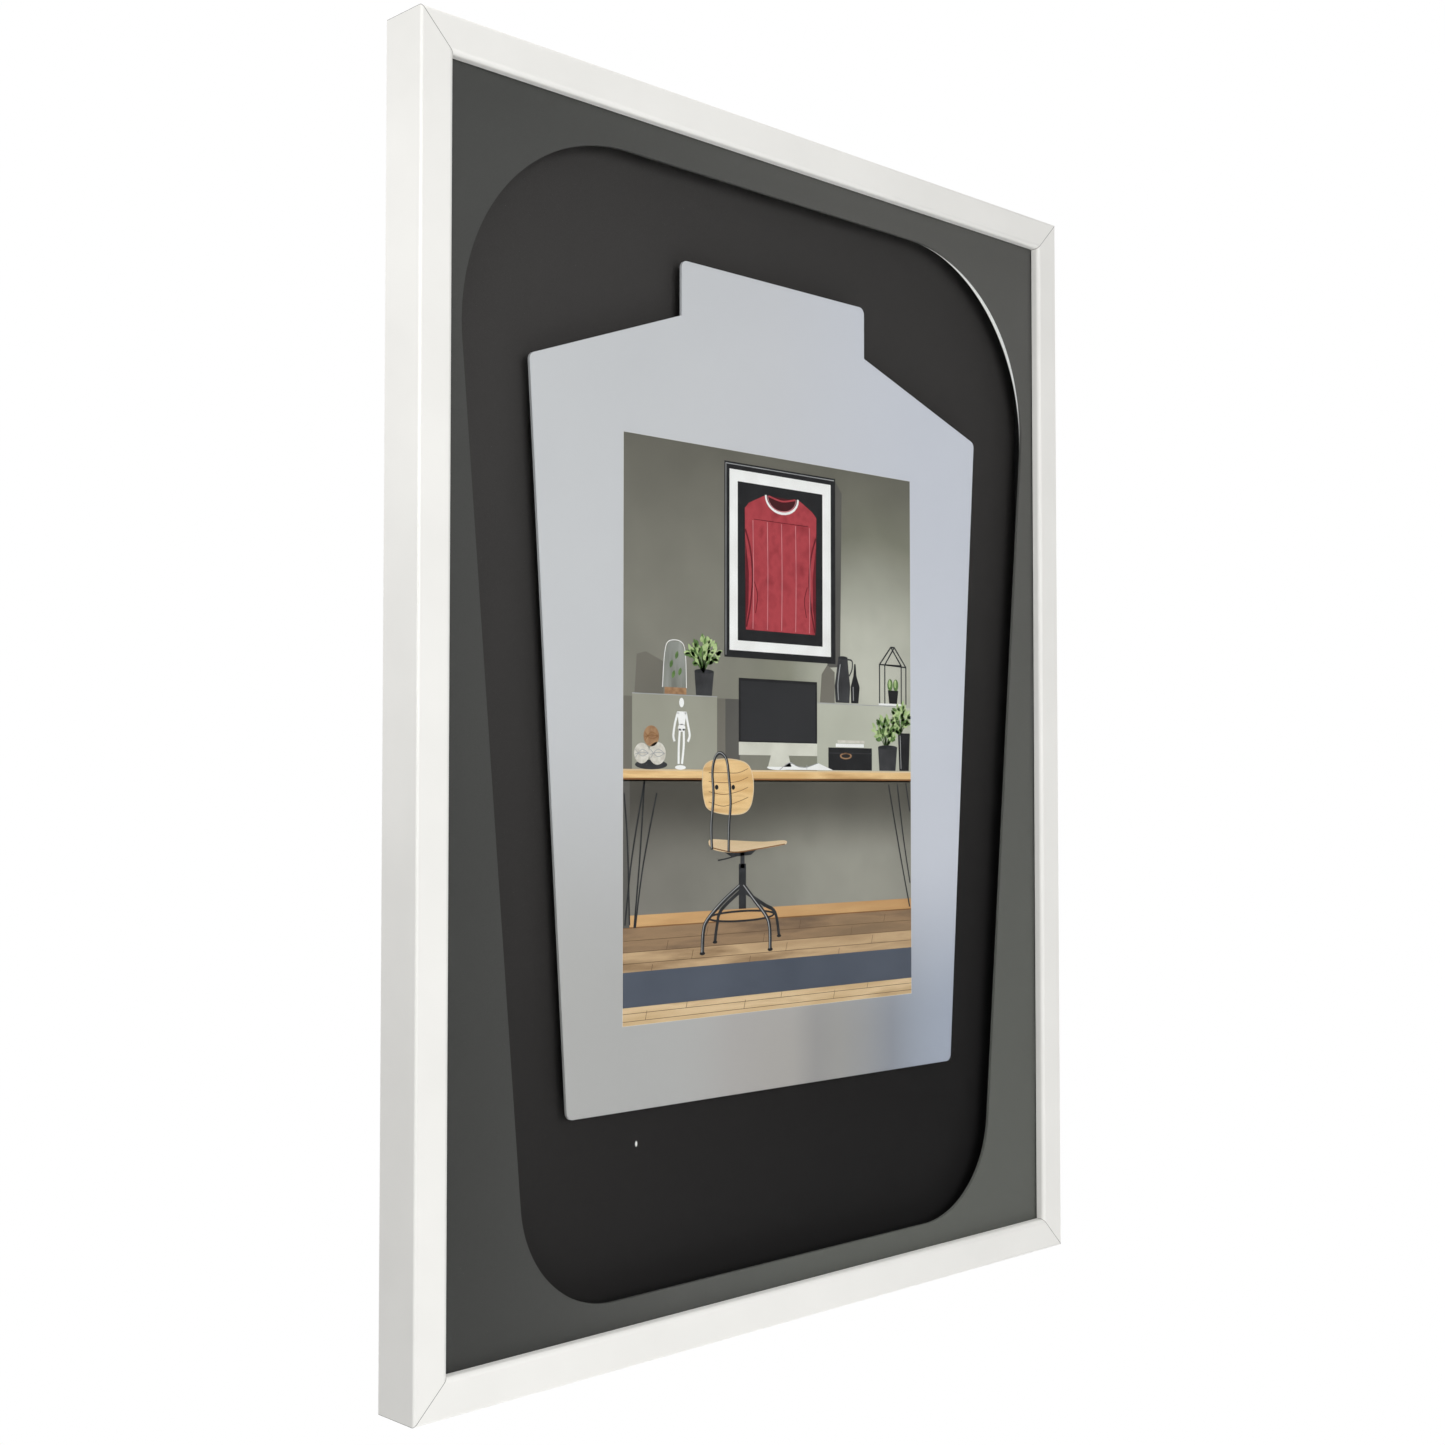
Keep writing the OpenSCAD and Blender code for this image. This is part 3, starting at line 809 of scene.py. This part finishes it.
def draw_room(page):
    """Wall, shelf panels, desk, skirting and floor."""
    width, height = page.size.x, page.size.z
    page.sheet("paper")
    page.block(0, 160, width, height, 1, "wall")
    page.block(0, 72, width, 161, 1, "low_wall")
    page.block(0, 64, width, 72, 1, "skirting")
    page.block(0, 0, width, 19.5, 1, "floor_near")
    page.block(0, 19.5, width, 48, 1, "floor")
    page.block(0, 48, width, 64, 1, "floor_far")
    page.line([(0, 64), (width, 64)], 0.8, 2, "oak_edge")
    for row, v in enumerate((3, 8, 13.5, 19.5, 26, 33, 40.5, 48, 55.5)):
        page.line([(0, v), (width, v)], 0.35, 2, "gap")
        for u in range(20 + row * 37 % 60, int(width) - 10, 92):
            page.line([(u, v), (u + 1.5, v + 6)], 0.4, 2, "gap")
    page.block(8, 168, 86, 218, 2, "panel")
    page.block(86, 168, 94, 217, 2, "panel_shade")
    page.block(94, 168, 108, 217, 2, "shadow")
    page.block(0, 168, 8, 216, 2, "panel_shade")
    page.block(187, 168, width, 217, 2, "panel_lit")
    page.line([(8, 218), (86, 218)], 0.6, 3, "grey")
    page.line([(187, 217), (width, 217)], 0.6, 3, "grey")
    page.block(0, 161, width, 168, 3, "oak")
    page.line([(0, 161.6), (width, 161.6)], 1.2, 4, "oak_edge")
    page.line([(0, 167.4), (width, 167.4)], 0.9, 4, "oak_pale")


def draw_framed_shirt(page):
    """Black-framed picture of a red pin-striped shirt."""
    page.shape([(198, 243), (212, 244), (214, 372), (207, 380)], 2, "shadow")
    page.block(93, 246, 207, 382, 3, "black")
    page.line([(94.5, 247.5), (94.5, 380.5), (205.5, 380.5)], 0.6, 4, "grey", smooth=False)
    page.block(98, 251, 202, 377, 4, "white")
    page.block(106, 258, 193, 369, 5, "black")
    shoulders = [(113, 351), (117, 355), (132, 361.5), (169, 361.5), (182, 355), (186.5, 351)]
    page.shape([(114, 266), (185, 266)] + shoulders[::-1], 6, "red")
    page.disc(150.5, 361, 15.5, 8.5, 7, "red_dark", 175, 365)
    page.line([(137, 361.8), (150.5, 359.5), (164, 361.8)], 1.2, 7.5, "red")
    for radius, width, ink in ((16.6, 1.8, "white"), (14.6, 0.5, "stripe")):
        collar = [
            (150.5 + radius * math.cos(turn), 362 + radius * 0.68 * math.sin(turn))
            for turn in (math.pi * (1 + i / 14) for i in range(15))
        ]
        page.line(collar, width, 8, ink, smooth=False)
    page.line([(122, 344), (178, 344)], 0.5, 7.5, "red_shade")
    for side, edge in ((1, 113.6), (-1, 185.8)):
        fold = [(0, 336), (5, 322), (7, 304), (5, 284), (1, 268)]
        page.line([(edge + side * u, v) for u, v in fold], 1.6, 7, "red_shade")
        shade = [(0, 330), (3.4, 306), (3, 284), (0, 267)]
        page.shape([(edge + side * u, v) for u, v in shade], 7, "red_shade")
        crease = [(9, 300), (12, 290), (10, 278)]
        page.line([(edge + side * u, v) for u, v in crease], 0.8, 7, "red_shade")
    for u in (121, 135.5, 150, 164.5, 179):
        page.line([(u, 343), (u + 0.5, 305), (u, 267)], 0.6, 8, "stripe")


def draw_plant(page, u, v, spread, height, count, seed):
    """Leafy plant growing from (u, v)."""
    pick = random.Random(seed)
    for i in range(count):
        turn = pick.uniform(-1, 1)
        reach = pick.uniform(0.35, 1.0)
        start_u = u + turn * spread * 0.75 * reach
        start_v = v + height * reach * (1 - 0.45 * abs(turn)) * 0.85
        if i % 3 == 0:
            page.line([(u, v), (start_u, start_v)], 0.6, 5, "leaf")
        ink = "leaf_light" if pick.random() > 0.45 else "leaf"
        angle = 90 - turn * 75 + pick.uniform(-45, 45)
        length = pick.uniform(4, 7)
        page.leaf(start_u, start_v, angle, length, 2.7, 6 + i % 3, ink)


def draw_shelf_things(page):
    """Cloche, plants, vases and a wire house on the back panels."""
    page.shape([(10, 218), (12, 244), (20, 246), (36, 240), (36, 218)], 2, "panel_shade")
    dome = [(35, 223), (37, 246), (41, 254), (52, 254), (56, 246), (57, 223)]
    page.shape(dome, 4, "glass")
    page.line(dome, 0.6, 6, "white")
    page.block(37, 218.5, 57, 223, 5, "cork")
    for u, v in ((42, 236), (47, 242), (50, 231), (44, 229)):
        page.leaf(u, v, 70, 6, 3, 5, "leaf")
    page.shape([(64.5, 235), (66, 218.5), (81, 218.5), (83, 235)], 4, "charcoal")
    page.disc(73.7, 235, 9.2, 1.5, 5, "metal")
    draw_plant(page, 73, 234, 19, 29, 84, 3)
    page.shape([(190, 217.5), (192, 238), (198, 245), (206, 240), (206, 217.5)], 3, "panel_shade")
    pot = [(207, 218), (206, 230), (208.5, 243), (210, 251), (220, 251), (221, 243), (223, 230)]
    page.shape(pot + [(222, 218)], 5, "charcoal")
    page.disc(215, 251, 5.2, 1.2, 6, "metal")
    page.line([(220, 250), (225, 249), (225, 243), (222, 238)], 1.2, 6, "charcoal")
    page.line([(210, 220), (209.5, 232), (212, 246)], 0.8, 7, "grey")
    vase = [(224, 218), (223.5, 230), (226.5, 238), (227.5, 247), (229, 247), (230, 238)]
    page.shape(vase + [(233.5, 230), (232, 218)], 5, "black")
    page.line([(226.5, 220), (226.2, 230)], 0.7, 6, "grey")
    front = [(256, 219), (256, 248), (269, 261.5), (281, 248), (281, 219)]
    back = [(262, 219), (262, 248), (273, 261.5), (286.5, 247), (286.5, 219)]
    for wire in (back, front):
        page.line(wire, 1.2, 5, "metal", smooth=False)
        page.line([wire[1], wire[3]], 1.0, 5, "metal")
    page.line([(269, 261.5), (273, 261.5)], 1.2, 5, "metal")
    page.block(255, 217.5, 284, 219, 5, "white")
    page.shape([(265.5, 229), (267, 219), (276, 219), (277.5, 229)], 6, "black")
    for u in (268, 274.5):
        page.disc(u, 233, 3, 4.5, 6, "leaf")
        page.disc(u - 0.6, 234, 1.2, 3, 7, "leaf_light")


def draw_desk_things(page):
    """Balls in a dish, artist's figure, monitor, book, box and plant on the desk."""
    page.disc(25, 171, 14.5, 3.2, 5, "charcoal")
    balls = ((16.5, 178.5, 6.8, "stone"), (30.5, 178.5, 7.6, "stone"), (25, 190, 7, "cork"))
    for u, v, r, ink in balls:
        page.disc(u, v, r, r, 6, ink)
        for tilt in (-0.35, 0.1, 0.45):
            sweep = [(u - r * 0.85, v - tilt * r), (u, v + tilt * r * 0.8), (u + r * 0.85, v)]
            page.line(sweep, 0.45, 7, "grey" if ink == "stone" else "oak_edge")
    page.disc(51.5, 169.3, 5, 1.5, 5, "white")
    page.disc(52.5, 213, 2.2, 3.2, 7, "white")
    page.shape([(48.5, 207), (57, 207), (55.5, 198), (50, 198)], 6, "white")
    page.disc(52.6, 196, 3.4, 2.6, 6, "white")
    for limb in (
        [(49, 206), (46.5, 199), (45, 191), (46, 187)],
        [(56.5, 206), (58.5, 198), (60, 191), (58.5, 187)],
        [(51, 195), (50, 184), (49.8, 172)],
        [(54.5, 195), (54.5, 184), (53, 172)],
    ):
        page.line(limb, 1.9, 6, "white")
    page.block(107, 184, 187, 232, 6, "black")
    page.block(109, 188.5, 185, 230, 7, "screen")
    page.block(107, 178.5, 187, 187.5, 7, "silver")
    page.shape([(139, 178.5), (157, 178.5), (160, 170.5), (136, 170.5)], 6, "silver")
    page.disc(148, 170, 13, 1.8, 5, "white")
    book = [(148, 168.5), (158, 173.5), (166, 171), (175, 170.3), (188, 173.5), (204, 168.5)]
    page.shape(book, 6, "white")
    page.line(book[:5], 0.5, 7, "grey")
    page.line([(176, 169), (176, 172)], 0.5, 8, "grey")
    page.block(199, 168.5, 247, 185, 5, "black")
    page.line([(199, 181), (247, 181)], 0.5, 6, "charcoal")
    page.disc(218, 179, 6.5, 2.4, 6, "cork")
    page.disc(218, 179, 4.8, 1.4, 7, "black")
    page.block(207, 185.5, 238, 188, 5, "white")
    page.block(209, 188.5, 239, 190.5, 5, "stone")
    page.shape([(254, 186), (255.5, 168.5), (274, 168.5), (276, 186)], 6, "charcoal")
    page.disc(265, 186, 11, 1.6, 7, "metal")
    draw_plant(page, 263, 185, 18, 28, 84, 8)
    page.shape([(277, 197), (278.5, 168.5), (289.5, 168.5), (291, 197)], 5, "black")
    page.line([(280.5, 170), (279.5, 195)], 0.6, 5.5, "grey")
    draw_plant(page, 280, 196, 12, 26, 60, 5)


def draw_chair(page):
    """Swivel chair with a plywood back and seat on a black steel base."""
    for foot in (
        [(108, 84), (90, 72), (86, 62), (84, 51)],
        [(112, 84), (132, 74), (143, 68), (147, 52)],
    ):
        page.line(foot, 2.6, 5, "metal")
        page.disc(foot[-1][0], foot[-1][1] - 0.6, 2.2, 1.0, 6, "black")
    ring = [
        (110 + 32 * math.cos(a / 8 * math.pi), 67 + 3.4 * math.sin(a / 8 * math.pi))
        for a in range(17)
    ]
    page.line(ring, 1.4, 6, "metal")
    page.block(107, 72, 114, 103, 6, "metal")
    page.block(108.6, 100, 112.6, 112, 6, "charcoal")
    for foot in (
        [(108, 88), (92, 78), (77, 66), (73, 58), (72, 44)],
        [(112, 88), (124, 76), (134, 66), (137.5, 58), (138, 43)],
    ):
        page.line(foot, 3.2, 7, "metal")
        page.line([(u - 0.6, v + 0.3) for u, v in foot], 0.7, 8, "grey")
        page.disc(foot[-1][0], foot[-1][1] - 0.6, 2.6, 1.2, 8, "black")
    page.line([(87, 106), (95, 107), (106, 109)], 1.0, 6, "metal")
    page.shape([(92, 112), (100, 108), (119, 109), (125, 113)], 6, "metal")
    seat = [(78, 117), (80, 120.5), (100, 119.5), (130, 118), (152, 118.5), (155, 116.5)]
    seat += [(150, 115), (125, 112.5), (102, 111), (84, 113), (78, 117)]
    seat = smooth_path(seat)
    page.shape(seat[:-1], 7, "oak_pale")
    page.line([(80, 115), (102, 111.3), (126, 113), (153, 115.8)], 0.8, 8, "oak_edge")
    backrest = [(72, 158), (73, 169), (80, 174), (96, 175.5), (112, 173.5), (119, 168)]
    backrest += [(121.5, 157), (119, 144), (111, 138), (94, 137.5), (78, 141), (73.5, 148)]
    backrest = smooth_path(backrest + backrest[:1])
    page.shape(backrest[:-1], 7, "oak")
    page.line(backrest, 0.7, 8, "oak_pale", smooth=False)
    for rise in (0, 7, 14, 20):
        grain = [(78, 146 + rise), (92, 143 + rise * 1.15), (106, 146 + rise), (116, 149 + rise)]
        page.line(grain, 0.45, 8, "oak_edge")
    loop = [(81, 114), (80.5, 130), (82.5, 150), (81.5, 166), (84, 176), (89, 179.5)]
    loop += [(95, 175), (97.5, 162), (99, 145), (97.5, 130), (97, 112)]
    page.line(loop, 2.4, 8.2, "metal")
    page.line([(u - 0.5, v + 0.4) for u, v in loop], 0.5, 9, "grey")
    for u in (85.5, 101.5):
        page.disc(u, 156, 1.7, 1.7, 9, "black")


def draw_desk_legs(page):
    """Hairpin legs at both ends of the desk."""
    for leg in (
        [(1, 152), (4, 120), (6, 66)],
        [(19, 160), (8, 110), (2, 66)],
        [(19, 160), (15, 110), (10, 64)],
        [(30, 152), (18, 105), (11, 64)],
        [(266, 158), (278, 110), (290, 66)],
        [(276, 158), (283, 118), (290.5, 84)],
        [(286, 159), (290.5, 138)],
    ):
        page.line(leg, 1.3, 5, "metal")
    page.block(0, 64, 6, 160, 3, "shadow")


def printed_picture():
    """Printed insert: a desk corner with a framed shirt, and a plain band along the bottom."""
    page = Page()
    draw_room(page)
    draw_framed_shirt(page)
    draw_shelf_things(page)
    draw_desk_legs(page)
    draw_desk_things(page)
    draw_chair(page)
    page.block(0, 12, page.size.x, 35, 4, "band")
    materials = [page.inks[name] for name in page.used]
    add_piece("printed_picture", page.bm, materials, "frame", "printed_insert")


# ---------------- fixings


BUTTON_PIVOT_R = 6.0
BUTTON_TIP_R = 4.5
BUTTON_REACH = 20.0  # from the screw to the middle of the finger's round end


def button_outline():
    """Points round a turn button, whose finger points along u, as (u, v)."""
    lean = math.asin((BUTTON_PIVOT_R - BUTTON_TIP_R) / BUTTON_REACH)
    points = []
    for i in range(21):
        angle = (math.pi / 2 - lean) * (i / 10 - 1)
        u = BUTTON_REACH + BUTTON_TIP_R * math.cos(angle)
        points.append((u, BUTTON_TIP_R * math.sin(angle)))
    end = points[-1]
    start = (BUTTON_PIVOT_R * math.sin(lean), BUTTON_PIVOT_R * math.cos(lean))
    side = [tuple(a + (b - a) * i / 6 for a, b in zip(end, start)) for i in range(1, 6)]
    points += side
    for i in range(33):
        angle = math.pi / 2 - lean + 2 * (math.pi / 2 + lean) * i / 32
        points.append((BUTTON_PIVOT_R * math.cos(angle), BUTTON_PIVOT_R * math.sin(angle)))
    return points + [(u, -v) for u, v in side[::-1]]


def smooth_step(t):
    """0 below 0 and 1 above 1, with an even curve between."""
    t = min(1.0, max(0.0, t))
    return t * t * (3 - 2 * t)


def button_lift(u, v):
    """How far the pressed sheet stands off the back at (u, v): its end turns up and a
    stiffening rib runs along it."""
    bend_start, bend_run, bend_height = 14, 10, 1.5
    rib_start, rib_end, rib_fade = 6, 17, 3
    rib_height, rib_half_w = 0.45, 1.5
    bend = bend_height * smooth_step((u - bend_start) / bend_run)
    rib = rib_height * smooth_step((u - rib_start) / rib_fade)
    rib *= smooth_step((rib_end - u) / rib_fade)
    return bend + rib * math.exp(-((v / rib_half_w) ** 2))


def turn_button_piece(node, material):
    """Pressed steel turn button, drawn as rings from its bore out to its rim and back."""
    bore_r, edge_round, steps = 2.05, 0.15, 14
    pivot = pivot_of(node)
    middle = (low(node) + high(node)) / 2
    across = Vector((middle.x - pivot.x, 0, middle.z - pivot.z)).normalized()
    side = Vector((-across.z, 0, across.x))
    under, thickness = low(node).y, high(node).y - low(node).y
    outward = list(range(steps + 1))
    sheets = [(step, False) for step in outward] + [(step, True) for step in outward[::-1]]
    outline = button_outline()
    bm = bmesh.new()
    rings = []
    for step, upper in sheets:
        at_rim = step == steps
        share = step / steps - (edge_round / BUTTON_PIVOT_R if at_rim else 0)
        edge_drop = edge_round if at_rim else 0.0
        ring = []
        for edge_u, edge_v in outline:
            reach = math.hypot(edge_u, edge_v)
            start_u, start_v = bore_r * edge_u / reach, bore_r * edge_v / reach
            u = start_u + (edge_u - start_u) * share
            v = start_v + (edge_v - start_v) * share
            place = pivot + across * u + side * v
            place.y = under + button_lift(u, v) + (thickness - edge_drop if upper else edge_drop)
            ring.append(bm.verts.new(place * MM))
        rings.append(ring)
    for first, second in round_pairs(rings):
        bridge(bm, first, second, smooth=True)
    bmesh.ops.recalc_face_normals(bm, faces=bm.faces)
    add_piece(node + "_plate", bm, [material], node, node)


def strap_piece(name, material):
    """Steel strap rolled round the bar of its D-ring, with a rounded lower end."""
    node = "hanger_strap_" + name
    pivot = pivot_of("d_ring_" + name)
    half_w = (high(node).x - low(node).x) / 2
    sheet, tip_half_w, roll_turn = 0.75, 0.3, math.radians(318)
    foot = low(node).z - pivot.z
    roll_r = pivot.y - BACK_Y - sheet / 2
    widths = []
    for i in range(17):
        angle = math.pi / 2 * i / 16
        z = foot + half_w * (1 - math.cos(angle))
        widths.append((z, max(tip_half_w, half_w * math.sin(angle))))
    widths += [(foot + half_w + (-foot - half_w) * i / 8, half_w) for i in range(1, 9)]
    path = [
        (Vector((pivot.x, BACK_Y + sheet / 2, pivot.z + z)), Vector((0, 1, 0)), reach)
        for z, reach in widths
    ]
    for i in range(1, 37):
        angle = -math.pi / 2 + roll_turn * i / 36
        out = Vector((0, math.sin(angle), math.cos(angle)))
        path.append((pivot + out * roll_r, -out, half_w))
    bm = bmesh.new()
    rings = []
    for centre, inward, reach in path:
        ring = []
        for x, face in ((-1, 1), (-1, -1), (1, -1), (1, 1)):
            corner = centre + Vector((x * reach, 0, 0)) + inward * face * sheet / 2
            ring.append(bm.verts.new(corner * MM))
        rings.append(ring)
    for first, second in zip(rings, rings[1:]):
        bridge(bm, first, second)
    bm.faces.new(rings[0])
    bm.faces.new(rings[-1][::-1])
    bmesh.ops.recalc_face_normals(bm, faces=bm.faces)
    piece = add_piece(node + "_rolled", bm, [material], "frame", node)
    edges = piece.modifiers.new("bevel", "BEVEL")
    edges.width = 0.15 * MM
    edges.limit_method = "ANGLE"
    edges.angle_limit = math.radians(40)


def bumper_piece(material):
    """Four domed rubber bumpers, turned from one profile."""
    reach = high("wall_bumpers")
    bumper_r, dome_r, flat_r, turns = 6.0, 2.2, 1.5, 48
    height = reach.y - BACK_Y
    profile = [(bumper_r, 0)]
    for i in range(9):
        angle = math.radians(90 * i / 8)
        r = bumper_r - dome_r + dome_r * math.cos(angle)
        profile.append((r, height - dome_r + dome_r * math.sin(angle)))
    profile.append((flat_r, height))
    bm = bmesh.new()
    for x in (bumper_r - reach.x, reach.x - bumper_r):
        for z in (bumper_r - reach.z, reach.z - bumper_r):
            rings = []
            for r, y in profile:
                ring = []
                for i in range(turns):
                    angle = 2 * math.pi * i / turns
                    place = Vector((x + r * math.cos(angle), BACK_Y + y, z + r * math.sin(angle)))
                    ring.append(bm.verts.new(place * MM))
                rings.append(ring)
            for first, second in zip(rings, rings[1:]):
                bridge(bm, first, second, smooth=True)
            bm.faces.new(rings[0])
            bm.faces.new(rings[-1])
    bmesh.ops.recalc_face_normals(bm, faces=bm.faces)
    add_piece("wall_bumpers_domed", bm, [material], "frame", "wall_bumpers")


# ---------------- the whole object


def dress_frame():
    """Painted moulding."""
    paint = white_paint()
    for node in ("top_rail", "bottom_rail", "left_stile", "right_stile"):
        dress(node, paint, 0.25)


def dress_layers():
    """Everything inside the moulding, from the glazing to the backing board."""
    dress("glazing_sheet", glazing_clear())
    mount_board_piece()
    spacer = spacer_face()
    for edge in ("top", "bottom", "left", "right"):
        dress("spacer_" + edge, spacer, 0.2)
    dress("inner_card", black_card_face())
    dress("shirt_former", former_face(), 0.3)
    dress("former_pads", foam_pad(), 0.5)
    dress("foam_pack", packing_foam())
    dress("backing_board", bare_mdf(), 0.3)
    printed_picture()


def dress_fixings():
    """Hardware on the back."""
    zinc = bright_metal("bright_zinc", (158, 160, 164), (198, 200, 204), 0.32)
    nickel = bright_metal("nickel_plate", (186, 180, 170), (210, 204, 194), 0.24)
    dress("corner_v_nails", zinc)
    dress("turn_button_screws", zinc, 0.12)
    dress("hanger_screws", zinc, 0.1)
    for body in frame["bodies"]:
        if body.startswith("turn_button_"):
            turn_button_piece(body, zinc)
    for side in ("left", "right"):
        strap_piece(side, nickel)
        dress("d_ring_" + side, nickel)
    bumper_piece(bumper_rubber())


def light_studio():
    """Pale studio: even light from above, and soft lights at the front left, left and back."""
    bpy.context.scene.view_settings.view_transform = "Standard"
    add_world(0.3)
    add_floor()
    add_sun("overhead", 2.2, 50)
    add_area_light("key", (-0.85, -2.0, 0.2), (0, 0, 0), 1.0, 24.2)
    add_area_light("side", (-1.4, 0.0, 0.33), (-0.318, 0, 0.33), 0.5, 0.75, 60)
    add_area_light("back", (0.9, 2.0, 0.5), (0, 0, 0), 1.2, 20)


add_camera()
light_studio()
dress_frame()
dress_layers()
dress_fixings()
